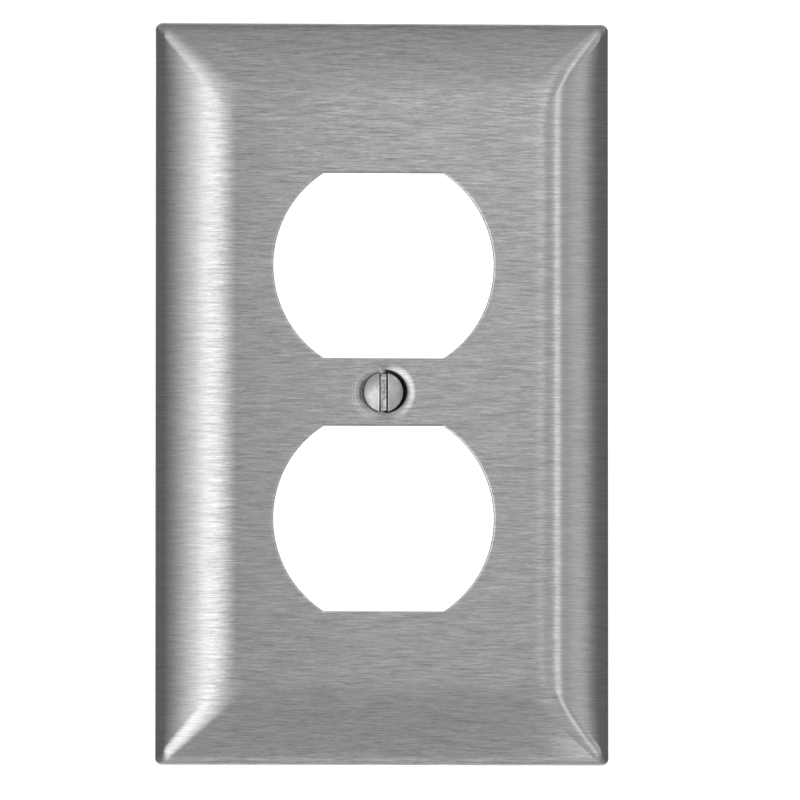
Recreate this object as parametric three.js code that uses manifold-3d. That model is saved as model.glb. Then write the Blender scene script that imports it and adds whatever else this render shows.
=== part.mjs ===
// One-gang duplex wall plate: a drawn stainless cover, its oval-head mounting screw,
// and the small washer behind the cover that keeps the screw in its hole.
// Millimetres. +X right, +Z up, +Y into the wall; the wall face is the plane y = 0.
// The origin is where the screw's axis meets the wall.
import * as THREE from "three";
import { mergeVertices } from "three/addons/utils/BufferGeometryUtils.js";
import Module from "manifold-3d";

const wasm = await Module();
wasm.setup();

// ---- Cover: outline, section and sheet ----
const WIDTH = 69.85;
const HEIGHT = 114.3;
const DEPTH = 5.6; // wall to front face
const SHEET = 0.9;

// The section runs in from the edge: rim, crowned bevel, then a long crease up to the face.
// A tilt is the angle between the surface and the front face.
const RIM_RADIUS = 2.6;
const RIM_TILT = THREE.MathUtils.degToRad(26);
const BEVEL_TILT = THREE.MathUtils.degToRad(18);
const BEVEL_END = 6.2; // from the edge to where the crease begins
const CREASE_RADIUS = 21;
const CORNER_RADIUS = 1.15; // at the edge
const CORNER_GROWTH = 0.2; // added corner radius for each millimetre in from the edge

// ---- Duplex openings ----
const OPENING_RADIUS = 16.95;
const OPENING_FLATS = 28.5; // between the flat top and the flat bottom
const OPENING_PITCH = 38.9; // centre to centre

// ---- Dimple round the screw hole ----
const DIMPLE_RADIUS = 5.15;
const DIMPLE_ROLL = 3.45; // radius where the face rolls down into the dimple
const DIMPLE_TILT = THREE.MathUtils.degToRad(49); // an 82 degree countersink
const HOLE_RADIUS = 2.2;

// ---- Mounting screw, 6-32 with a slotted oval head ----
const HEAD_RADIUS = 3.05;
const HEAD_DROP = 0.38; // the head's widest edge lies this far below the front face
const HEAD_EDGE = 0.12; // thickness of that edge
const DOME_HEIGHT = 0.68;
const CONE_HALF_ANGLE = THREE.MathUtils.degToRad(41);
const SLOT_WIDTH = 1.3;
const SLOT_DEPTH = 1.1; // from the top of the dome
const SCREW_LENGTH = 12.7; // from the head's widest edge to the tip
const THREAD_PITCH = 25.4 / 32;
const CREST_RADIUS = 1.75;
const ROOT_RADIUS = 1.27;
const NECK_RADIUS = 1.46;
const TIP_RADIUS = 1.15;
const THREAD_START = 2.9; // from the head's widest edge
const FADE_IN = 0.9 * THREAD_PITCH;
const FADE_OUT = 0.8 * THREAD_PITCH;
// Where the root, both flanks and the crest begin, as shares of one pitch.
const THREAD_ROWS = [
  { phase: 0.0, radius: ROOT_RADIUS },
  { phase: 0.167, radius: ROOT_RADIUS },
  { phase: 0.521, radius: CREST_RADIUS },
  { phase: 0.646, radius: CREST_RADIUS },
];

// ---- Captive washer ----
const WASHER_BORE = 1.85;
const WASHER_RADIUS = 3.75;
const WASHER_THICKNESS = 0.7;
const WASHER_FRONT = -1.2; // y of its front face
const WASHER_EDGE = 0.12;

// ---- Mesh steps ----
const CORNER_STEPS = 6;
const RIM_STEPS = 7;
const BEVEL_STEPS = 3;
const CREASE_STEPS = 6;
const OPENING_STEPS = 24;
const ROLL_STEPS = 6;
const DOME_STEPS = 6;
const LATHE_STEPS = 48;
const THREAD_STEPS = 24; // a turn

const FACE_Y = -DEPTH;
const CLEAR = 1; // how far a cutter reaches past what it cuts

const { sin, cos, tan, PI } = Math;
const lerp = THREE.MathUtils.lerp;
const clamp = THREE.MathUtils.clamp;

// ---- Solids and geometries ----

// A closed geometry as a solid, turned right side out if its faces point in.
function solidOf(geometry) {
  const bare = geometry.index ? geometry.toNonIndexed() : geometry.clone();
  bare.deleteAttribute("normal");
  bare.deleteAttribute("uv");
  const merged = mergeVertices(bare, 1e-4);
  const corners = [];
  for (let i = 0; i < merged.index.count; i += 3) {
    const [a, b, c] = [0, 1, 2].map((k) => merged.index.getX(i + k));
    if (a !== b && b !== c && c !== a) corners.push(a, b, c);
  }
  const build = (triangles) =>
    new wasm.Manifold(
      new wasm.Mesh({
        numProp: 3,
        vertProperties: Float32Array.from(merged.attributes.position.array),
        triVerts: Uint32Array.from(triangles),
      }),
    );
  const made = build(corners);
  return made.volume() > 0 ? made : build(corners.reverse());
}

function geometryOf(solid) {
  const mesh = solid.getMesh();
  return new THREE.BufferGeometry()
    .setAttribute("position", new THREE.BufferAttribute(mesh.vertProperties, 3))
    .setIndex(new THREE.BufferAttribute(mesh.triVerts, 1));
}

function latheSolid(profile, steps = LATHE_STEPS) {
  const points = profile.map(([radius, y]) => new THREE.Vector2(radius, y));
  return solidOf(new THREE.LatheGeometry(points, steps));
}

// Evenly spaced values from a to b, without the first one.
function after(a, b, steps) {
  return Array.from({ length: steps }, (_, i) => lerp(a, b, (i + 1) / steps));
}

// ---- Cover ----

// The outer section as stations { inset, height, tilt }, from the wall to the front face.
function coverSection() {
  const rimHeight = RIM_RADIUS * cos(RIM_TILT);
  const rimInset = RIM_RADIUS * (1 - sin(RIM_TILT));
  const bevelRadius = (BEVEL_END - rimInset) / (sin(RIM_TILT) - sin(BEVEL_TILT));
  const bevelHeight = bevelRadius * (cos(BEVEL_TILT) - cos(RIM_TILT));
  const creaseHeight = CREASE_RADIUS * (1 - cos(BEVEL_TILT));
  const straight = DEPTH - rimHeight - bevelHeight - creaseHeight;

  const arc = (start, radius, from, to, steps) =>
    after(from, to, steps).map((tilt) => ({
      inset: start.inset + radius * (sin(from) - sin(tilt)),
      height: start.height + radius * (cos(tilt) - cos(from)),
      tilt,
    }));
  const stations = [
    { inset: 0, height: 0, tilt: PI / 2 },
    { inset: 0, height: straight, tilt: PI / 2 },
  ];
  stations.push(...arc(stations.at(-1), RIM_RADIUS, PI / 2, RIM_TILT, RIM_STEPS));
  stations.push(...arc(stations.at(-1), bevelRadius, RIM_TILT, BEVEL_TILT, BEVEL_STEPS));
  stations.push(...arc(stations.at(-1), CREASE_RADIUS, BEVEL_TILT, 0, CREASE_STEPS));
  return stations;
}

// The same stations moved inwards by the sheet's thickness.
function innerStation({ inset, height, tilt }) {
  return {
    inset: inset + SHEET * sin(tilt),
    height: height - SHEET * cos(tilt),
    radius: cornerRadius(inset) - SHEET * sin(tilt),
  };
}

function cornerRadius(inset) {
  return CORNER_RADIUS + CORNER_GROWTH * inset;
}

// A rounded rectangle at one height, counter-clockwise seen from the front.
function coverRing({ inset, height, radius }) {
  const centreX = WIDTH / 2 - inset - radius;
  const centreZ = HEIGHT / 2 - inset - radius;
  const points = [];
  for (let corner = 0; corner < 4; corner++) {
    const sideX = corner === 0 || corner === 3 ? 1 : -1;
    const sideZ = corner < 2 ? 1 : -1;
    for (let i = 0; i <= CORNER_STEPS; i++) {
      const angle = (corner + i / CORNER_STEPS) * (PI / 2);
      points.push(
        new THREE.Vector3(
          sideX * centreX + radius * cos(angle),
          -height,
          sideZ * centreZ + radius * sin(angle),
        ),
      );
    }
  }
  return points;
}

// Rings of equal length joined into one closed surface, with a flat fan over each end.
function ringsSolid(rings) {
  const count = rings[0].length;
  const positions = rings.flat().flatMap((p) => [p.x, p.y, p.z]);
  const index = [];
  for (let r = 0; r + 1 < rings.length; r++) {
    for (let i = 0; i < count; i++) {
      const a = r * count + i;
      const b = r * count + ((i + 1) % count);
      index.push(a, b, b + count, a, b + count, a + count);
    }
  }
  const last = (rings.length - 1) * count;
  for (let i = 1; i + 1 < count; i++) {
    index.push(0, i + 1, i);
    index.push(last, last + i, last + i + 1);
  }
  const geometry = new THREE.BufferGeometry();
  geometry.setAttribute("position", new THREE.Float32BufferAttribute(positions, 3));
  geometry.setIndex(index);
  return solidOf(geometry);
}

function openingOutline() {
  const half = OPENING_FLATS / 2;
  const rise = Math.asin(half / OPENING_RADIUS);
  const shape = new THREE.Shape();
  shape.absarc(0, 0, OPENING_RADIUS, -rise, rise, false);
  shape.absarc(0, 0, OPENING_RADIUS, PI - rise, PI + rise, false);
  shape.closePath();
  return shape;
}

function openingCutter(centreZ) {
  const geometry = new THREE.ExtrudeGeometry(openingOutline(), {
    depth: DEPTH + 2 * CLEAR,
    bevelEnabled: false,
    curveSegments: OPENING_STEPS,
  });
  geometry.rotateX(PI / 2); // the extrusion now runs along -Y
  geometry.translate(0, CLEAR, centreZ);
  return solidOf(geometry);
}

// The dimple's front or back surface as [radius, y], from the face down to the hole.
function dimpleSurface(thickness) {
  const roll = [0, ...after(0, DIMPLE_TILT, ROLL_STEPS)].map((tilt) => [
    DIMPLE_RADIUS - (DIMPLE_ROLL - thickness) * sin(tilt),
    FACE_Y + DIMPLE_ROLL - (DIMPLE_ROLL - thickness) * cos(tilt),
  ]);
  const frontRadius = DIMPLE_RADIUS - DIMPLE_ROLL * sin(DIMPLE_TILT);
  const frontY = FACE_Y + DIMPLE_ROLL * (1 - cos(DIMPLE_TILT));
  const lip = [
    HOLE_RADIUS + thickness * sin(DIMPLE_TILT),
    frontY + (frontRadius - HOLE_RADIUS) * tan(DIMPLE_TILT) + thickness * cos(DIMPLE_TILT),
  ];
  return [...roll, lip];
}

function dimpleBoss() {
  const back = dimpleSurface(SHEET);
  const inSheet = FACE_Y + SHEET / 2;
  return latheSolid([[0, inSheet], [DIMPLE_RADIUS, inSheet], ...back, [0, back.at(-1)[1]]]);
}

function dimpleCutter() {
  const front = dimpleSurface(0);
  const [lipRadius, lipY] = front.at(-1);
  const end = [lipRadius + CLEAR * tan(DIMPLE_TILT), lipY + CLEAR];
  const above = FACE_Y - CLEAR;
  return latheSolid([[0, above], [DIMPLE_RADIUS, above], ...front, end, [0, end[1]]]);
}

function coverSolid() {
  const section = coverSection();
  const outer = section.map((s) => coverRing({ ...s, radius: cornerRadius(s.inset) }));
  const inner = section.map((s) => coverRing(innerStation(s)));
  // The hollow is cut a little past the wall plane, so that the rim's edge is one flat face.
  const mouth = inner[0].map((p) => p.clone().setY(CLEAR));
  return ringsSolid(outer)
    .subtract(ringsSolid([mouth, ...inner]))
    .add(dimpleBoss())
    .subtract(dimpleCutter())
    .subtract(openingCutter(OPENING_PITCH / 2))
    .subtract(openingCutter(-OPENING_PITCH / 2));
}

// ---- Mounting screw ----

function domeProfile(topY, edgeY) {
  const ballRadius = (HEAD_RADIUS ** 2 + DOME_HEIGHT ** 2) / (2 * DOME_HEIGHT);
  const edgeTilt = Math.asin(HEAD_RADIUS / ballRadius);
  const dome = after(0, edgeTilt, DOME_STEPS).map((tilt) => [
    ballRadius * sin(tilt),
    topY + ballRadius * (1 - cos(tilt)),
  ]);
  dome[dome.length - 1] = [HEAD_RADIUS, edgeY];
  return [[0, topY], ...dome];
}

function headSolid() {
  const edgeY = FACE_Y + HEAD_DROP;
  const topY = edgeY - DOME_HEIGHT;
  const coneY = edgeY + HEAD_EDGE;
  const neckY = coneY + (HEAD_RADIUS - NECK_RADIUS) / tan(CONE_HALF_ANGLE);
  const head = latheSolid([
    ...domeProfile(topY, edgeY),
    [HEAD_RADIUS, coneY],
    [NECK_RADIUS, neckY],
    [0, neckY],
  ]);
  const slot = new THREE.BoxGeometry(SLOT_WIDTH, SLOT_DEPTH + CLEAR, 3 * HEAD_RADIUS);
  slot.translate(0, topY + (SLOT_DEPTH - CLEAR) / 2, 0);
  return head.subtract(solidOf(slot));
}

// Radius of the thread's surface at y, for a row that has the given radius in full thread.
function threadRadius(rowRadius, y, startY, endY) {
  const grown = clamp((y - startY) / FADE_IN, 0, 1);
  const left = clamp((endY - y) / FADE_OUT, 0, 1);
  return lerp(TIP_RADIUS, lerp(NECK_RADIUS, rowRadius, grown), left);
}

// The shank, from inside the head to the tip. Each row of vertices climbs one right-hand helix,
// and rows that would pass either end of the thread are held on that end's circle.
function shankSolid() {
  const edgeY = FACE_Y + HEAD_DROP;
  const startY = edgeY + THREAD_START;
  const endY = edgeY + SCREW_LENGTH;
  const turns = Math.ceil((endY - startY) / THREAD_PITCH) + 1;
  const rowCount = turns * THREAD_ROWS.length;
  const vertex = (row, step) => {
    const turn = Math.floor(row / THREAD_ROWS.length) - 1;
    const { phase, radius } = THREAD_ROWS[row % THREAD_ROWS.length];
    const along = startY + THREAD_PITCH * (turn + phase + step / THREAD_STEPS);
    const y = clamp(along, startY, endY);
    const r = threadRadius(radius, y, startY, endY);
    const angle = (2 * PI * (step % THREAD_STEPS)) / THREAD_STEPS;
    return [r * sin(angle), y, r * cos(angle)];
  };
  const positions = [];
  const quad = (a, b, c, d) => positions.push(...a, ...b, ...c, ...a, ...c, ...d);
  const circle = (radius, y, step) => {
    const angle = (2 * PI * (step % THREAD_STEPS)) / THREAD_STEPS;
    return [radius * sin(angle), y, radius * cos(angle)];
  };
  const neckTop = edgeY + HEAD_EDGE + (HEAD_RADIUS - NECK_RADIUS) / tan(CONE_HALF_ANGLE) / 2;
  for (let step = 0; step < THREAD_STEPS; step++) {
    const next = step + 1;
    for (let row = 0; row < rowCount; row++) {
      quad(vertex(row, step), vertex(row + 1, step), vertex(row + 1, next), vertex(row, next));
    }
    quad(
      circle(NECK_RADIUS, neckTop, step),
      circle(NECK_RADIUS, startY, step),
      circle(NECK_RADIUS, startY, next),
      circle(NECK_RADIUS, neckTop, next),
    );
    positions.push(
      ...[0, neckTop, 0],
      ...circle(NECK_RADIUS, neckTop, step),
      ...circle(NECK_RADIUS, neckTop, next),
    );
    positions.push(
      ...[0, endY, 0],
      ...circle(TIP_RADIUS, endY, next),
      ...circle(TIP_RADIUS, endY, step),
    );
  }
  const geometry = new THREE.BufferGeometry();
  geometry.setAttribute("position", new THREE.Float32BufferAttribute(positions, 3));
  return solidOf(geometry);
}

function screwSolid() {
  return headSolid().add(shankSolid());
}

// ---- Captive washer ----

function washerSolid() {
  const back = WASHER_FRONT + WASHER_THICKNESS;
  const section = [
    [WASHER_BORE, WASHER_FRONT],
    [WASHER_RADIUS - WASHER_EDGE, WASHER_FRONT],
    [WASHER_RADIUS, WASHER_FRONT + WASHER_EDGE],
    [WASHER_RADIUS, back - WASHER_EDGE],
    [WASHER_RADIUS - WASHER_EDGE, back],
    [WASHER_BORE, back],
    [WASHER_BORE, WASHER_FRONT],
  ];
  return latheSolid(section);
}

// ---- Materials and assembly ----

const stainless = new THREE.MeshStandardMaterial({
  color: 0xa3a3a3,
  roughness: 0.35,
  metalness: 1,
});
const screwSteel = new THREE.MeshStandardMaterial({
  color: 0xb8b8b6,
  roughness: 0.28,
  metalness: 1,
});
const nylon = new THREE.MeshStandardMaterial({
  color: 0xdedacf,
  roughness: 0.6,
  metalness: 0,
});

function piece(name, solid, material) {
  const mesh = new THREE.Mesh(geometryOf(solid), material);
  mesh.name = name;
  return mesh;
}

const wallPlate = new THREE.Group();
wallPlate.add(
  piece("cover_plate", coverSolid(), stainless),
  piece("mounting_screw", screwSolid(), screwSteel),
  piece("captive_washer", washerSolid(), nylon),
);

export default wallPlate;
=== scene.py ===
"""Looks for a one-gang duplex wall plate: brushed stainless cover, slotted screw, captive washer."""

import math

import bmesh
import bpy
import numpy as np
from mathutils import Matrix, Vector, geometry


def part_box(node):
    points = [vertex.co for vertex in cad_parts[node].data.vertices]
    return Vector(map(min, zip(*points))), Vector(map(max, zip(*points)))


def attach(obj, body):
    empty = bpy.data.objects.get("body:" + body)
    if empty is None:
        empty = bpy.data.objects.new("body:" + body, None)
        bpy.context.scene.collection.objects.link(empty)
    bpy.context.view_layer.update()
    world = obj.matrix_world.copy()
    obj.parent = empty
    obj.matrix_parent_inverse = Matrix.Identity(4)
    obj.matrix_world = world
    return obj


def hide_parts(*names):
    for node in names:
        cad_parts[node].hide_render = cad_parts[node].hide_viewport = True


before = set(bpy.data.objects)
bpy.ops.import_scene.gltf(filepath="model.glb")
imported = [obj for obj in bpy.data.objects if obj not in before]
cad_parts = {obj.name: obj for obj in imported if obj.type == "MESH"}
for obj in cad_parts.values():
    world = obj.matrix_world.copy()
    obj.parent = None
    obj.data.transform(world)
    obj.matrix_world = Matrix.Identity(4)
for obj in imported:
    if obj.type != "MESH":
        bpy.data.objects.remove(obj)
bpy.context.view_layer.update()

MM = 0.001
cover_low, cover_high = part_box("cover_plate")
screw_low, screw_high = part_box("mounting_screw")
washer_low, washer_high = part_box("captive_washer")

# ---- Cover: outline, section and sheet ----
WIDTH = cover_high.x - cover_low.x
HEIGHT = cover_high.z - cover_low.z
DEPTH = cover_high.y - cover_low.y
FACE_Y = cover_low.y
SHEET = 0.9 * MM
RIM_RADIUS = 2.6 * MM
RIM_TILT = math.radians(26)
BEVEL_TILT = math.radians(18)
BEVEL_END = 6.2 * MM
CREASE_RADIUS = 21 * MM
CORNER_RADIUS = 1.15 * MM  # at the outline
CORNER_GROWTH = 0.2  # and this much larger for each unit of inset
BURR = 0.08 * MM  # rounding on the sheet's cut edge, against the wall
HOLD = 0.05 * MM  # strip of flat mesh beside a curved edge

# ---- Openings and dimple ----
OPENING_RADIUS = 16.95 * MM
OPENING_FLATS = 28.5 * MM
OPENING_PITCH = 38.9 * MM
OPENING_CORNER = 0.4 * MM
ROLL_WIDTH = 0.35 * MM  # the punched edge rolls over this far in the face,
ROLL_DEPTH = 0.12 * MM  # and this far through the sheet
BREAK_OUT = 0.04 * MM  # the hole widens by this much where the slug broke away
BREAK_START = 0.62 * SHEET  # how deep in the sheet that begins
BACK_EDGE = 0.05 * MM  # chamfer round the hole on the back
DIMPLE_RADIUS = 5.15 * MM
DIMPLE_ROLL = 3.45 * MM
DIMPLE_TILT = math.radians(49)
DIMPLE_CORE = 4.3 * MM  # the dimple is round out to here, and narrowed by the openings beyond
HOLE_RADIUS = 2.2 * MM

# ---- Screw ----
HEAD_RADIUS = (screw_high.x - screw_low.x) / 2
HEAD_DROP = 0.38 * MM  # how far the head's edge lies below the face
HEAD_EDGE = 0.12 * MM  # thickness of that edge
HEAD_ROLL = 0.16 * MM  # the dome rolls over into the head's edge at this radius
HEAD_HOLD = 0.06 * MM  # strip of straight mesh under the head, where the neck starts
DOME_HEIGHT = 0.68 * MM
CONE_HALF_ANGLE = math.radians(41)
SLOT_WIDTH = 1.3 * MM
SLOT_DEPTH = 1.1 * MM
SLOT_FILLET = 0.4 * MM
SLOT_ARRIS = 0.12 * MM  # rounding on the slot's edges
THREAD_PITCH = 25.4 / 32 * MM
CREST_RADIUS = 1.75 * MM
ROOT_RADIUS = 1.27 * MM
NECK_RADIUS = 1.46 * MM
TIP_RADIUS = 1.15 * MM
THREAD_START = 2.9 * MM  # from the head's edge
THREAD_FADE_IN = 0.9 * THREAD_PITCH
THREAD_FADE_OUT = 0.8 * THREAD_PITCH
EDGE_Y = FACE_Y + HEAD_DROP
CROWN_Y = EDGE_Y - DOME_HEIGHT
BALL_RADIUS = (HEAD_RADIUS ** 2 + DOME_HEIGHT ** 2) / (2 * DOME_HEIGHT)  # of the dome
NECK_END_Y = EDGE_Y + THREAD_START

# ---- Washer ----
WASHER_BORE = 1.85 * MM
WASHER_EDGE = 0.12 * MM

# ---- Camera: almost square on, from a little to the left and below ----
VIEW_AZIMUTH = math.radians(-3.0)
VIEW_ELEVATION = math.radians(-3.4)
VIEW_DISTANCE = 2.4
VIEW_SPAN = 123.1 * MM  # what the frame spans at the plate
AIM_RIGHT = 2.8 * MM
AIM_UP = -0.9 * MM
FLOOR_DROP = 0.35  # how far the floor lies below the plate


# ---- Mesh building ----

class Builder:
    """Collects rings of points, the strips between them and flat fills."""

    def __init__(self):
        self.points = []
        self.faces = []

    def ring(self, points):
        """Adds points and gives their indices."""
        first = len(self.points)
        self.points.extend(points)
        return list(range(first, len(self.points)))

    def strip(self, a, b):
        """Joins two closed rings of as many points with quads."""
        for i in range(len(a)):
            j = (i + 1) % len(a)
            self.faces.append((a[i], a[j], b[j], b[i]))

    def rings(self, rows):
        made = [self.ring(points) for points in rows]
        for a, b in zip(made, made[1:]):
            self.strip(a, b)
        return made

    def cap(self, ring, centre):
        """Closes a ring with triangles that meet at a point."""
        middle = self.ring([centre])[0]
        for i in range(len(ring)):
            self.faces.append((middle, ring[i], ring[(i + 1) % len(ring)]))

    def fill(self, outer, holes):
        """Triangles between loops that lie in one plane of constant y."""
        loops = [outer] + holes
        index = [i for loop in loops for i in loop]
        flat = [Vector((self.points[i][0], self.points[i][2])) for i in index]
        edges = []
        start = 0
        for loop in loops:
            n = len(loop)
            edges += [(start + k, start + (k + 1) % n) for k in range(n)]
            start += n
        made = geometry.delaunay_2d_cdt(flat, edges, [], 1, 1e-9)
        source = made[3]
        for face in made[2]:
            corners = [index[source[k][0]] for k in face]
            middle = np.mean([self.points[i] for i in corners], axis=0)
            if not any(self.surrounds(hole, middle) for hole in holes):
                self.faces.append(tuple(corners))

    def surrounds(self, loop, point):
        """True if a point lies inside a loop, both seen along y."""
        crossings = 0
        for i, j in zip(loop, loop[1:] + loop[:1]):
            (x0, _, z0), (x1, _, z1) = self.points[i], self.points[j]
            if (z0 > point[2]) != (z1 > point[2]):
                crossings += point[0] < x0 + (point[2] - z0) / (z1 - z0) * (x1 - x0)
        return crossings % 2 == 1

    def mesh(self, name, weld=1e-7):
        """The closed mesh, with points nearer than weld joined into one."""
        bm = bmesh.new()
        verts = [bm.verts.new(p) for p in self.points]
        for face in self.faces:
            bm.faces.new([verts[i] for i in face])
        bmesh.ops.remove_doubles(bm, verts=bm.verts, dist=weld)
        bmesh.ops.dissolve_degenerate(bm, edges=bm.edges, dist=weld)
        bmesh.ops.recalc_face_normals(bm, faces=bm.faces)
        mesh = bpy.data.meshes.new(name)
        bm.to_mesh(mesh)
        bm.free()
        mesh.shade_smooth()
        return mesh


def link(name, mesh):
    piece = bpy.data.objects.new(name, mesh)
    bpy.context.scene.collection.objects.link(piece)
    return piece


def steps(a, b, n):
    """n + 1 values from a to b."""
    return [a + (b - a) * i / n for i in range(n + 1)]


# ---- Cover ----

def cover_section():
    """The outer section as (inset, height, tilt), from the rim up to the face."""
    rim_height = RIM_RADIUS * math.cos(RIM_TILT)
    rim_inset = RIM_RADIUS * (1 - math.sin(RIM_TILT))
    bevel_radius = (BEVEL_END - rim_inset) / (math.sin(RIM_TILT) - math.sin(BEVEL_TILT))
    bevel_height = bevel_radius * (math.cos(BEVEL_TILT) - math.cos(RIM_TILT))
    crease_height = CREASE_RADIUS * (1 - math.cos(BEVEL_TILT))
    straight = DEPTH - rim_height - bevel_height - crease_height
    rows = [(0, straight, math.pi / 2)]
    for radius, low, high, n in (
        (RIM_RADIUS, math.pi / 2, RIM_TILT, 18),
        (bevel_radius, RIM_TILT, BEVEL_TILT, 8),
        (CREASE_RADIUS, BEVEL_TILT, 0, 18),
    ):
        inset, height, _ = rows[-1]
        for tilt in steps(low, high, n)[1:]:
            rows.append((
                inset + radius * (math.sin(low) - math.sin(tilt)),
                height + radius * (math.cos(tilt) - math.cos(low)),
                tilt,
            ))
    return rows


def outline(inset, height, radius):
    """A rounded rectangle, drawn in from the plate's edge, at one height above the wall."""
    cx = WIDTH / 2 - inset - radius
    cz = HEIGHT / 2 - inset - radius
    corners = []
    for corner, (sx, sz) in enumerate(((1, 1), (-1, 1), (-1, -1), (1, -1))):
        arc = [(corner + i / 10) * math.pi / 2 for i in range(11)]
        corners.append([(sx * cx + radius * math.cos(a), sz * cz + radius * math.sin(a))
                        for a in arc])
    points = []
    for corner in range(4):
        arc, nxt = corners[corner], corners[(corner + 1) % 4]
        points += arc
        n = 12 if corner in (0, 2) else 20  # the top and bottom are shorter than the sides
        (x0, z0), (x1, z1) = arc[-1], nxt[0]
        points += [(x0 + (x1 - x0) * i / n, z0 + (z1 - z0) * i / n) for i in range(1, n)]
    return [(x, -height, z) for x, z in points]


def corner_radius(inset):
    """How round the outline's corners are, at an inset from the edge."""
    return CORNER_RADIUS + CORNER_GROWTH * inset


def opening_outline(centre_z, grown, y):
    """The flat-sided round outline, grown outwards by an offset."""
    half = OPENING_FLATS / 2
    r = OPENING_CORNER
    # the corner arc touches the flat and the big arc from inside
    corner_z = half - r
    corner_x = math.sqrt((OPENING_RADIUS - r) ** 2 - corner_z ** 2)
    turn = math.atan2(corner_z, corner_x)
    points = []
    for side in (0, 1):
        base = side * math.pi
        points += [((OPENING_RADIUS + grown) * math.cos(base + a),
                    (OPENING_RADIUS + grown) * math.sin(base + a))
                   for a in steps(-turn, turn, 56)]
        for top in (0, 1):
            low, high = (turn, math.pi / 2) if top == 0 else (math.pi / 2, math.pi - turn)
            cx = corner_x if top == 0 else -corner_x
            flip = -1 if side else 1
            arc = [(flip * (cx + (r + grown) * math.cos(a)),
                    flip * (corner_z + (r + grown) * math.sin(a)))
                   for a in steps(low, high, 5)]
            if top == 0:
                points += arc[1:]
                x0 = arc[-1][0]
                points += [(x0 - 2 * x0 * i / 48, arc[-1][1]) for i in range(1, 48)]
            else:
                points += arc[:-1]
    return [(x, y + sink(math.hypot(x, z + centre_z)), z + centre_z) for x, z in points]


def sink(radius):
    """How far the dimple's roll has lowered the face, at a radius from the screw."""
    inside = max(DIMPLE_RADIUS - radius, 0)
    return DIMPLE_ROLL * (1 - math.cos(math.asin(inside / DIMPLE_ROLL)))


def opening_rows(centre_z):
    """Rings from the face, over the punched edge and through to the back."""
    back_y = FACE_Y + SHEET
    rows = [opening_outline(centre_z, ROLL_WIDTH + HOLD, FACE_Y)]
    for t in steps(0, math.pi / 2, 10):
        rows.append(opening_outline(centre_z, ROLL_WIDTH * (1 - math.sin(t)),
                                    FACE_Y + ROLL_DEPTH * (1 - math.cos(t))))
    rows.append(opening_outline(centre_z, 0, FACE_Y + BREAK_START))
    rows.append(opening_outline(centre_z, BREAK_OUT, back_y - BACK_EDGE))
    rows.append(opening_outline(centre_z, BREAK_OUT + BACK_EDGE, back_y))
    rows.append(opening_outline(centre_z, BREAK_OUT + BACK_EDGE + HOLD, back_y))
    return rows


def circle(radius, y, n=96):
    """n points round the screw's axis."""
    return [(radius * math.sin(2 * math.pi * i / n), y, radius * math.cos(2 * math.pi * i / n))
            for i in range(n)]


def dimple_profile(thickness):
    """(radius, y) from the core's edge down, on the front or the back of the sheet."""
    radius = DIMPLE_ROLL - thickness
    start = math.asin((DIMPLE_RADIUS - DIMPLE_CORE) / radius)
    roll = [(DIMPLE_RADIUS - radius * math.sin(t), FACE_Y + DIMPLE_ROLL - radius * math.cos(t))
            for t in steps(start, DIMPLE_TILT, 20)[1:]]
    front_radius = DIMPLE_RADIUS - DIMPLE_ROLL * math.sin(DIMPLE_TILT)
    front_y = FACE_Y + DIMPLE_ROLL * (1 - math.cos(DIMPLE_TILT))
    lip_y = front_y + (front_radius - HOLE_RADIUS) * math.tan(DIMPLE_TILT)
    lip = (HOLE_RADIUS + thickness * math.sin(DIMPLE_TILT),
           lip_y + thickness * math.cos(DIMPLE_TILT))
    return roll + [lip]


def dimple_edge(share, thickness, n=96):
    """A ring between the core and the dimple's outer edge, which the openings flatten."""
    radius = DIMPLE_ROLL - thickness
    web = OPENING_PITCH / 2 - OPENING_FLATS / 2 - ROLL_WIDTH - 2 * HOLD
    points = []
    for i in range(n):
        turn = 2 * math.pi * i / n
        reach = DIMPLE_RADIUS + HOLD
        if abs(reach * math.cos(turn)) > web:
            reach = web / abs(math.cos(turn))
        r = DIMPLE_CORE + (reach - DIMPLE_CORE) * share
        inside = max(DIMPLE_RADIUS - r, 0)
        y = FACE_Y + DIMPLE_ROLL - math.sqrt(radius ** 2 - inside ** 2)
        points.append((r * math.sin(turn), y, r * math.cos(turn)))
    return points


def dimple_rows():
    """Rings from the face, down the dimple, through the hole and back up behind the sheet."""
    rim = steps(1, 0, 6)
    rows = [dimple_edge(share, 0) for share in rim]
    rows += [circle(r, y) for r, y in dimple_profile(0) + dimple_profile(SHEET)[::-1]]
    rows += [dimple_edge(share, SHEET) for share in rim[::-1]]
    return rows


def cover_mesh():
    build = Builder()
    section = cover_section()
    outer = [outline(BURR, 0, CORNER_RADIUS - BURR), outline(0, BURR, CORNER_RADIUS)]
    outer += [outline(i, h, corner_radius(i)) for i, h, _ in section]
    last = section[-1]
    outer.append(outline(last[0] + HOLD, last[1], corner_radius(last[0])))
    inner = [outline(SHEET - BURR, 0, CORNER_RADIUS - SHEET + BURR),
             outline(SHEET, BURR, CORNER_RADIUS - SHEET)]
    inner += [outline(i + SHEET * math.sin(t), h - SHEET * math.cos(t),
                      corner_radius(i) - SHEET * math.sin(t)) for i, h, t in section]
    inner.append(outline(last[0] + HOLD, last[1] - SHEET, corner_radius(last[0])))
    outer = build.rings(outer)
    inner = build.rings(inner)
    build.strip(outer[0], inner[0])
    upper = build.rings(opening_rows(OPENING_PITCH / 2))
    lower = build.rings(opening_rows(-OPENING_PITCH / 2))
    dimple = build.rings(dimple_rows())
    build.fill(outer[-1], [upper[0], lower[0], dimple[0]])
    build.fill(inner[-1], [upper[-1], lower[-1], dimple[-1]])
    return build.mesh("cover")


# ---- Screw ----

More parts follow.
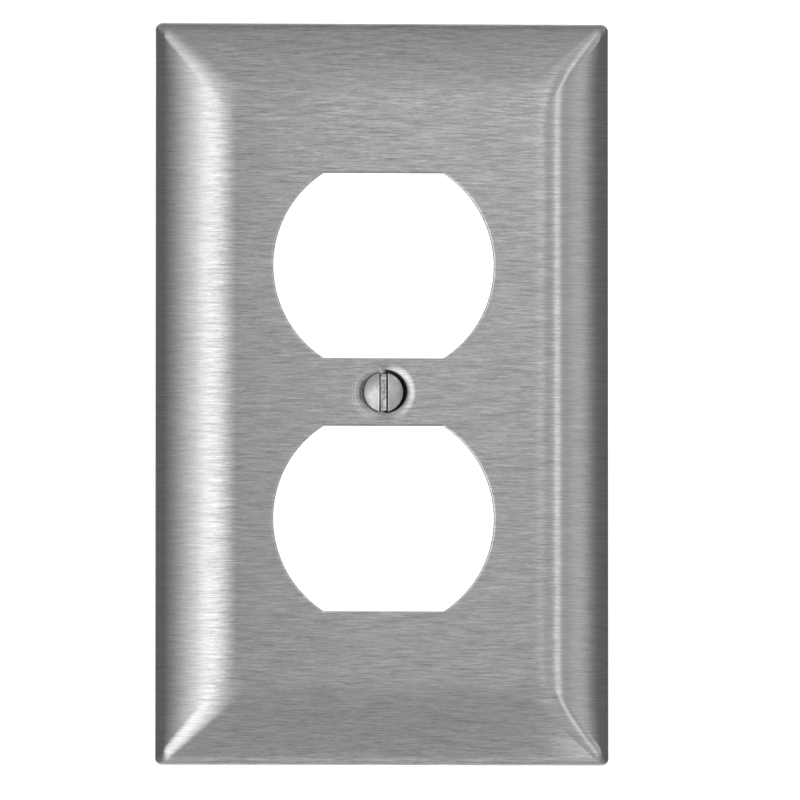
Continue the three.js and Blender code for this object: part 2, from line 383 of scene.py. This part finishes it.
def head_profile():
    """(radius, y) from the crown, over the head's edge and down its underside to the neck."""
    end = math.asin((HEAD_RADIUS - HEAD_ROLL) / (BALL_RADIUS - HEAD_ROLL))
    roll_y = CROWN_Y + BALL_RADIUS - (BALL_RADIUS - HEAD_ROLL) * math.cos(end)
    rows = [(BALL_RADIUS * math.sin(t), CROWN_Y + BALL_RADIUS * (1 - math.cos(t)))
            for t in steps(0, end, 14)[1:]]
    rows += [(HEAD_RADIUS - HEAD_ROLL * (1 - math.sin(t)), roll_y - HEAD_ROLL * math.cos(t))
             for t in steps(end, math.pi / 2, 6)[1:]]
    cone_y = EDGE_Y + HEAD_EDGE
    neck_y = cone_y + (HEAD_RADIUS - NECK_RADIUS) / math.tan(CONE_HALF_ANGLE)
    rows += [(HEAD_RADIUS + (NECK_RADIUS - HEAD_RADIUS) * s, cone_y + (neck_y - cone_y) * s)
             for s in steps(0.02, 1, 5)]
    rows.append((NECK_RADIUS, neck_y + HEAD_HOLD))
    return rows


def thread_radius(y, rise):
    """The thread's radius at y, where rise goes from 0 at the root to 1 at the crest."""
    grown = min((y - NECK_END_Y) / THREAD_FADE_IN, 1)
    left = min((screw_high.y - y) / THREAD_FADE_OUT, 1)
    full = ROOT_RADIUS + (CREST_RADIUS - ROOT_RADIUS) * rise
    r = NECK_RADIUS + (full - NECK_RADIUS) * grown
    return TIP_RADIUS + (r - TIP_RADIUS) * left


def thread_rows(n):
    """Rings of n + 1 points that climb the helix, from the neck to the tip."""
    # how far along one pitch, and how far up from root to crest
    shape = ((0.0, 0), (0.08, 0.0), (0.167, 0.03), (0.22, 0.14), (0.34, 0.5), (0.46, 0.86),
             (0.521, 0.97), (0.583, 1), (0.646, 0.97), (0.706, 0.86), (0.83, 0.5), (0.947, 0.14))
    turns = math.ceil((screw_high.y - NECK_END_Y) / THREAD_PITCH) + 1
    rows = []
    for turn in range(-1, turns):
        for phase, rise in shape:
            row = []
            for step in range(n + 1):
                y = NECK_END_Y + THREAD_PITCH * (turn + phase + step / n)
                y = min(max(y, NECK_END_Y), screw_high.y)
                r = thread_radius(y, rise)
                angle = 2 * math.pi * step / n
                row.append((r * math.sin(angle), y, r * math.cos(angle)))
            rows.append(row)
    return rows


def screw_body(n=96):
    """Head, neck, thread and tip as one closed mesh, before the slot is cut."""
    build = Builder()
    head = build.rings([circle(r, y, n) for r, y in head_profile()])
    build.cap(head[0], (0, CROWN_Y, 0))
    rows = [build.ring(row) for row in thread_rows(n)]
    for a, b in zip(rows, rows[1:]):
        for i in range(n):
            build.faces.append((a[i], a[i + 1], b[i + 1], b[i]))
    build.strip(head[-1], build.ring(circle(NECK_RADIUS, NECK_END_Y, n)))
    tip = build.ring(circle(TIP_RADIUS, screw_high.y, n))
    build.cap(tip, (0, screw_high.y, 0))
    return build.mesh("screw_body", weld=2e-6)


def prism(rows, name):
    """A closed mesh through some rings, with both ends filled."""
    build = Builder()
    made = build.rings(rows)
    build.faces.append(tuple(made[0]))
    build.faces.append(tuple(made[-1]))
    return build.mesh(name)


def arris_cutter():
    """Rounds the slot's two arrises, following the ball that the dome is part of."""
    half = SLOT_WIDTH / 2
    top = 0.5 * MM  # the cutter starts this far above the dome,
    wider = 0.1 * MM  # this much wider there than at the dome,
    shoulder = 0.02 * MM  # and stands upright over the last of it
    # across the slot and down from the dome
    section = [(half + SLOT_ARRIS + wider, -top), (half + SLOT_ARRIS, -shoulder)]
    section += [(half + SLOT_ARRIS * (1 - math.sin(t)), SLOT_ARRIS * (1 - math.cos(t)))
                for t in steps(0, math.pi / 2, 5)]
    section = section + [(-x, down) for x, down in section[::-1]]
    centre_y = CROWN_Y + BALL_RADIUS
    sweep = 0.62  # radians to each side, which passes the head's edge
    rows = []
    for a in steps(-sweep, sweep, 48):
        rows.append([(x, centre_y - (BALL_RADIUS - down) * math.cos(a), (BALL_RADIUS - down) * math.sin(a))
                     for x, down in section])
    return prism(rows, "flare")


def slot_cutter():
    """The straight slot, with fillets along its floor."""
    half = SLOT_WIDTH / 2
    fillet_y = CROWN_Y + SLOT_DEPTH - SLOT_FILLET
    top_y = CROWN_Y - 1 * MM  # in the open above the head
    section = [(-half, top_y), (-half, fillet_y)]
    section += [(-half + SLOT_FILLET * (1 - math.cos(t)), fillet_y + SLOT_FILLET * math.sin(t))
                for t in steps(0, math.pi / 2, 8)[1:]]
    section += [(-x, y) for x, y in section[::-1]]
    reach = 4 * MM  # past the head on both sides
    return prism([[(x, y, z) for x, y in section] for z in (-reach, reach)], "slot")


def cut(body, cutters):
    """The mesh left when each cutter is taken away."""
    target = link("cut_target", body)
    tools = [link(f"cut_tool_{i}", m) for i, m in enumerate(cutters)]
    for tool in tools:
        mod = target.modifiers.new("cut", "BOOLEAN")
        mod.operation = "DIFFERENCE"
        mod.solver = "EXACT"
        mod.object = tool
    graph = bpy.context.evaluated_depsgraph_get()
    result = bpy.data.meshes.new_from_object(target.evaluated_get(graph))
    for o in [target] + tools:
        bpy.data.objects.remove(o)
    return result


def screw_mesh():
    mesh = cut(screw_body(), [arris_cutter(), slot_cutter()])
    mesh.name = "screw"
    mesh.shade_smooth()
    mesh.set_sharp_from_angle(angle=math.radians(35))
    return mesh


# ---- Washer ----

def washer_mesh(n=96):
    """A flat ring with all four edges rounded."""
    front, back = washer_low.y, washer_high.y
    outer = (washer_high.x - washer_low.x) / 2
    e = WASHER_EDGE
    profile = []
    for centre_r, centre_y, start in (
        (outer - e, front + e, 180),
        (outer - e, back - e, 90),
        (WASHER_BORE + e, back - e, 0),
        (WASHER_BORE + e, front + e, -90),
    ):
        for degrees in steps(start, start - 90, 5):
            t = math.radians(degrees)
            profile.append((centre_r + e * math.sin(t), centre_y + e * math.cos(t)))
    build = Builder()
    made = build.rings([circle(r, y, n) for r, y in profile])
    build.strip(made[-1], made[0])
    return build.mesh("washer")


# ---- Materials ----

class Graph:
    """Short names for adding nodes to one tree."""

    def __init__(self, tree):
        self.tree = tree
        tree.nodes.clear()

    def node(self, kind, **settings):
        made = self.tree.nodes.new(kind)
        for key, value in settings.items():
            setattr(made, key, value)
        return made

    def put(self, socket, value):
        if isinstance(value, bpy.types.NodeSocket):
            self.tree.links.new(value, socket)
        else:
            socket.default_value = value

    def math(self, operation, a, b=0.0, c=0.0):
        made = self.node("ShaderNodeMath", operation=operation)
        for socket, value in zip(made.inputs, (a, b, c)):
            self.put(socket, value)
        return made.outputs[0]

    def plus(self, a, b):
        return self.math("ADD", a, b)

    def minus(self, a, b):
        return self.math("SUBTRACT", a, b)

    def times(self, a, b):
        return self.math("MULTIPLY", a, b)

    def length(self, a, b):
        squares = self.plus(self.math("POWER", a, 2.0), self.math("POWER", b, 2.0))
        return self.math("SQRT", squares)

    def span(self, value, low, high, to_low=0.0, to_high=1.0, smooth=True):
        """Carries low to to_low and high to to_high, and holds those values outside."""
        made = self.node("ShaderNodeMapRange",
                         interpolation_type="SMOOTHSTEP" if smooth else "LINEAR")
        for key, v in zip(("Value", "From Min", "From Max", "To Min", "To Max"),
                          (value, low, high, to_low, to_high)):
            self.put(made.inputs[key], v)
        return made.outputs["Result"]

    def position(self, space="Object"):
        """x, y and z of the shaded point or direction."""
        split = self.node("ShaderNodeSeparateXYZ")
        self.put(split.inputs[0], self.node("ShaderNodeTexCoord").outputs[space])
        return split.outputs

    def noise(self, scale, detail, roughness):
        made = self.node("ShaderNodeTexNoise")
        self.put(made.inputs["Vector"], self.node("ShaderNodeTexCoord").outputs["Object"])
        made.inputs["Scale"].default_value = scale
        made.inputs["Detail"].default_value = detail
        made.inputs["Roughness"].default_value = roughness
        return made.outputs[0]

    def bump(self, height, strength, distance):
        made = self.node("ShaderNodeBump")
        made.inputs["Strength"].default_value = strength
        made.inputs["Distance"].default_value = distance
        self.put(made.inputs["Height"], height)
        return made.outputs[0]

    def metal(self, value, roughness):
        """A shader for bare metal of one grey value."""
        shader = self.node("ShaderNodeBsdfPrincipled")
        shader.inputs["Metallic"].default_value = 1.0
        grey = self.node("ShaderNodeCombineColor")
        for socket in grey.inputs:
            self.put(socket, value)
        self.put(shader.inputs["Base Color"], grey.outputs[0])
        self.put(shader.inputs["Roughness"], roughness)
        return shader

    def finish(self, shader, kind="ShaderNodeOutputMaterial"):
        self.put(self.node(kind).inputs["Surface"], shader.outputs[0])


def new_material(name):
    """A material, and the graph to build it with."""
    material = bpy.data.materials.new(name)
    material.use_nodes = True
    return material, Graph(material.node_tree)


def streaks(g, along, across, length, row, detail):
    """Straight scratches: each narrow row has its own run of light and dark along it."""
    apart = 900.0  # the rows start at random up to this many lengths along one noise
    line = g.math("FLOOR", g.math("DIVIDE", across, row))
    start = g.node("ShaderNodeTexWhiteNoise", noise_dimensions="1D")
    g.put(start.inputs["W"], line)
    made = g.node("ShaderNodeTexNoise", noise_dimensions="1D")
    g.put(made.inputs["W"], g.math("MULTIPLY_ADD", start.outputs["Value"], apart,
                                   g.math("DIVIDE", along, length)))
    made.inputs["Scale"].default_value = 1.0
    made.inputs["Detail"].default_value = detail
    made.inputs["Roughness"].default_value = 0.72
    return made.outputs[0]


def brushing(g, x, y, z):
    """The brushed grain, in scratches of three lengths along the plate's width."""
    # on the rim's upright top and bottom walls z stands still, so the rows step along y there
    wall_z = HEIGHT / 2 - 1.3 * MM
    wall_end_y = -1.35 * MM
    rim_wall = g.times(g.math("GREATER_THAN", g.math("ABSOLUTE", z), wall_z),
                       g.math("GREATER_THAN", y, wall_end_y))
    across = g.math("MULTIPLY_ADD", rim_wall, y, z)
    fine = streaks(g, x, across, 5.5 * MM, 0.13 * MM, 4.0)
    medium = streaks(g, x, across, 14 * MM, 0.19 * MM, 4.0)
    broad = streaks(g, x, across, 24 * MM, 0.41 * MM, 3.0)
    longer = g.math("MULTIPLY_ADD", medium, 0.28, g.times(broad, 0.12))
    streak = g.math("MULTIPLY_ADD", fine, 0.6, longer)
    # drawing the border smoothed its grain
    smoothed = g.span(g.math("ABSOLUTE", x), WIDTH / 2 - 9 * MM, WIDTH / 2 - 7 * MM, 0.0, 0.45)
    return g.math("MULTIPLY_ADD", g.minus(0.5, streak), smoothed, streak)


def painted_gap_shade(g, x, z):
    """Near 1 on the painted shade in the right of the countersink, close to the head, where the head
    shades the gap.
    """
    beside = g.length(g.minus(x, 0.30 * MM), g.minus(z, 0.14 * MM))
    return g.times(g.span(beside, 3.24 * MM, 3.46 * MM, 0.95, 0.0),
                   g.span(x, -0.25 * MM, 0.5 * MM))


def sheared(g, x, y, z):
    """1 on the walls of the openings, which punching left rough and dull."""
    slack = 0.04 * MM
    rise = g.math("ABSOLUTE", g.minus(g.math("ABSOLUTE", z), OPENING_PITCH / 2))
    within = g.times(g.math("LESS_THAN", g.length(x, rise), OPENING_RADIUS + slack),
                     g.math("LESS_THAN", rise, OPENING_FLATS / 2 + slack))
    return g.times(within, g.span(y, FACE_Y + 0.04 * MM, FACE_Y + 0.14 * MM))


def across_grain(g):
    """The way reflections spread: across the grain, which runs along x on every side."""
    grain = g.node("ShaderNodeVectorTransform", vector_type="VECTOR", convert_from="OBJECT",
                   convert_to="WORLD")
    grain.inputs[0].default_value = (1, 0, 0)
    spread = g.node("ShaderNodeVectorMath", operation="CROSS_PRODUCT")
    g.put(spread.inputs[0], g.node("ShaderNodeNewGeometry").outputs["Normal"])
    g.put(spread.inputs[1], grain.outputs[0])
    # the small lean leaves a direction where the surface faces along the grain
    lean = g.node("ShaderNodeVectorMath", operation="ADD")
    g.put(lean.inputs[0], spread.outputs[0])
    lean.inputs[1].default_value = (0, 0.02, 0.1)
    return lean.outputs[0]


def stainless():
    material, g = new_material("brushed_stainless")
    x, y, z = g.position()
    streak = brushing(g, x, y, z)
    punched = sheared(g, x, y, z)
    value = g.span(streak, 0.35, 0.65, 0.43, 0.79, smooth=False)
    # painted shade: darkens the sheet in the gap beside the head's right edge
    value = g.times(value, g.minus(1.0, painted_gap_shade(g, x, z)))
    value = g.times(value, g.math("MULTIPLY_ADD", punched, -0.4, 1.0))
    # pressing left the dimple a little rougher
    pressed = g.span(g.length(x, z), 4.6 * MM, 5.0 * MM, 0.05, 0.0)
    roughness = g.plus(g.span(streak, 0.35, 0.65, 0.27, 0.21, smooth=False),
                       g.math("MULTIPLY_ADD", punched, 0.35, pressed))
    shader = g.metal(value, roughness)
    shader.inputs["Anisotropic"].default_value = 1.0
    g.put(shader.inputs["Tangent"], across_grain(g))
    g.put(shader.inputs["Normal"], g.bump(streak, 0.35, 0.01 * MM))
    g.finish(shader)
    return material


def slot_value(g, aside):
    """The slot is dull and pitted, with painted shade darkening it towards its corners."""
    pitted = g.noise(1500, 3.0, 0.6)
    return g.times(g.span(pitted, 0.35, 0.65, 0.3, 0.8, smooth=False),
                   g.span(aside, 0.36 * MM, 0.52 * MM, 1.0, 0.3))


def screw_steel():
    material, g = new_material("screw_steel")
    x, y, _ = g.position()
    aside = g.math("ABSOLUTE", x)
    mottle = g.noise(900, 4.0, 0.6)
    value = g.span(mottle, 0.3, 0.7, 0.57, 0.71, smooth=False)
    in_slot = g.times(g.span(aside, SLOT_WIDTH / 2, SLOT_WIDTH / 2 + 0.06 * MM, 1.0, 0.0),
                      g.span(y, FACE_Y + 0.1 * MM, FACE_Y + 0.4 * MM))
    outside = g.minus(1.0, in_slot)
    value = g.plus(g.times(value, outside), g.times(slot_value(g, aside), in_slot))
    # a painted highlight brightens the head along the slot's arrises
    arris_highlight = g.times(g.span(aside, 0.6 * MM, 0.68 * MM), g.span(aside, 0.76 * MM, 0.86 * MM, 0.3, 0.0))
    value = g.math("MULTIPLY_ADD", arris_highlight, outside, value)
    shader = g.metal(value, g.span(mottle, 0.3, 0.7, 0.44, 0.34, smooth=False))
    g.put(shader.inputs["Normal"], g.bump(mottle, 0.3, 0.02 * MM))
    g.finish(shader)
    return material


def nylon():
    material, g = new_material("natural_nylon")
    mottle = g.noise(500, 3.0, 0.5)
    mix = g.node("ShaderNodeMix", data_type="RGBA")
    g.put(mix.inputs["Factor"], g.span(mottle, 0.3, 0.7))
    mix.inputs["A"].default_value = (0.74, 0.71, 0.62, 1)
    mix.inputs["B"].default_value = (0.82, 0.80, 0.72, 1)
    shader = g.node("ShaderNodeBsdfPrincipled")
    g.put(shader.inputs["Base Color"], mix.outputs["Result"])
    g.put(shader.inputs["Roughness"], g.span(mottle, 0.3, 0.7, 0.42, 0.55))
    shader.inputs["Subsurface Weight"].default_value = 0.25
    shader.inputs["Subsurface Scale"].default_value = 0.5 * MM
    g.finish(shader)
    return material


# ---- Studio ----

def upright_panel(g, side, low, high, soft, strength, high_soft=None):
    """Light from between two azimuths, which fades over soft degrees past each edge."""
    far = high_soft or soft
    rising = g.span(side, low - soft, low + soft)
    falling = g.span(side, high - far, high + far, 1.0, 0.0)
    return g.times(g.times(rising, falling), strength)


def left_light(g, side, rise):
    """The bright panel that the left border mirrors, weak above eye level."""
    level = upright_panel(g, side, -38, -9.5, 15, 1.72, high_soft=12)
    level = g.times(level, g.span(rise, 4, 28, 1.0, 0.06))
    return g.times(level, g.span(rise, -50, -12, 0.5, 1.0))


def front_light(g, side, rise):
    """The dimmer panels that the face, the right crease and the right border mirror."""
    level = 0.0
    for low, high, soft, strength in (
        (-9, 22, 7, 0.21),  # over the whole face
        (21, 50, 5.5, 0.33),  # over the right border
        (11, 21, 2.5, 0.13),  # more where the face bends into the crease
        (41, 50.5, 4, 0.19),  # more towards the rim
        (26.4, 31, 0.8, 0.70),  # a narrow strip that draws a line down the crease
    ):
        level = g.plus(level, upright_panel(g, side, low, high, soft, strength))
    level = g.times(level, g.span(rise, 20, 60, 1.0, 0.4))
    return g.times(level, g.span(rise, -60, -15, 0.45, 1.0))


def room_light(g, rise):
    """Weak light from all round, more from above and below, and a band about 40 degrees up."""
    band = g.times(g.span(rise, 22, 40, 0.0, 0.25), g.span(rise, 42, 51, 1.0, 0.0))
    level = g.plus(g.span(rise, 15, 60, 0.16, 0.25), band)
    level = g.plus(level, g.span(rise, -60, -12, 0.14, 0.0))
    return g.plus(level, g.span(rise, -90, -55, 0.34, 0.0))


def backdrop(g, side, rise):
    """The bright wall behind the plate, which its edges mirror at grazing angles."""
    return g.times(g.span(g.math("ABSOLUTE", side), 140, 165, 0.0, 1.3),
                   g.span(g.math("ABSOLUTE", rise), 35, 60, 1.0, 0.0))


def studio():
    """Soft light by direction, and plain white where the camera looks past the object."""
    world = bpy.data.worlds.new("studio")
    bpy.context.scene.world = world
    world.use_nodes = True
    g = Graph(world.node_tree)
    x, y, z = g.position("Generated")
    # degrees to the right of, and above, the direction straight out from the face
    side = g.math("DEGREES", g.math("ARCTAN2", x, g.times(y, -1.0)))
    rise = g.math("DEGREES", g.math("ARCSINE", z))
    level = g.plus(left_light(g, side, rise), front_light(g, side, rise))
    level = g.plus(level, room_light(g, rise))
    level = g.math("MAXIMUM", level, backdrop(g, side, rise))
    level = g.math("MAXIMUM", level, g.node("ShaderNodeLightPath").outputs["Is Camera Ray"])
    shader = g.node("ShaderNodeBackground")
    g.put(shader.inputs["Color"], level)
    g.finish(shader, "ShaderNodeOutputWorld")


def floor():
    bpy.ops.mesh.primitive_plane_add(size=8, location=(0, 0, cover_low.z - FLOOR_DROP))
    plane = bpy.context.object
    plane.name = "floor"
    plane.visible_glossy = False  # the metal mirrors the studio's light instead
    material = bpy.data.materials.new("floor")
    material.use_nodes = True
    shader = material.node_tree.nodes["Principled BSDF"]
    shader.inputs["Base Color"].default_value = (0.8, 0.8, 0.8, 1)
    plane.data.materials.append(material)


def camera():
    a, e = VIEW_AZIMUTH, VIEW_ELEVATION
    back = Vector((math.sin(a) * math.cos(e), -math.cos(a) * math.cos(e), math.sin(e)))
    right = Vector((math.cos(a), math.sin(a), 0))
    up = back.cross(right)
    data = bpy.data.cameras.new("camera")
    data.sensor_width = 36
    data.lens = data.sensor_width * VIEW_DISTANCE / VIEW_SPAN
    made = bpy.data.objects.new("camera", data)
    bpy.context.scene.collection.objects.link(made)
    made.location = back * VIEW_DISTANCE + right * AIM_RIGHT + up * AIM_UP
    made.rotation_euler = back.to_track_quat("Z", "Y").to_euler()
    bpy.context.scene.camera = made


def lamp(name, place, back, size, power):
    """A soft rectangular lamp; back points out of its rear side."""
    data = bpy.data.lights.new(name, "AREA")
    data.shape = "RECTANGLE"
    data.size, data.size_y = size
    data.energy = power
    made = bpy.data.objects.new(name, data)
    bpy.context.scene.collection.objects.link(made)
    made.location = place
    made.rotation_euler = Vector(back).to_track_quat("Z", "Y").to_euler()
    made.visible_camera = False


def floor_light():
    """An even light from above that keeps the floor pale, and that the metal does not mirror."""
    data = bpy.data.lights.new("floor_light", "SUN")
    data.energy = 1.9
    data.angle = math.radians(60)
    made = bpy.data.objects.new("floor_light", data)
    bpy.context.scene.collection.objects.link(made)
    made.location = (0, 0, 1)
    made.visible_glossy = False


bpy.context.scene.view_settings.view_transform = "Standard"
studio()
# the first lamp lightens the flat face, the second its right half, the third the lower right corner
lamp("front_lamp", place=(0.0, -0.45, 0.10), back=(0.0, -1, 0.2), size=(0.32, 0.12), power=0.03)
lamp("front_right_lamp", place=(0.085, -0.45, 0.10), back=(0.2, -1, 0.2), size=(0.16, 0.12),
     power=0.03)
lamp("low_right_lamp", place=(0.060, -0.200, -0.290), back=(0.05, -0.66, -0.75),
     size=(0.016, 0.08), power=0.006)
floor_light()
floor()
camera()

for name, mesh, material, node, body, slot in (
    ("cover", cover_mesh(), stainless(), "cover_plate", "cover", "brushed_stainless"),
    ("screw", screw_mesh(), screw_steel(), "mounting_screw", "screw", "screw_steel"),
    ("washer", washer_mesh(), nylon(), "captive_washer", "retainer", "natural_nylon"),
):
    piece = link(name, mesh)
    piece.data.materials.append(material)
    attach(piece, body)
    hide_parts(node)
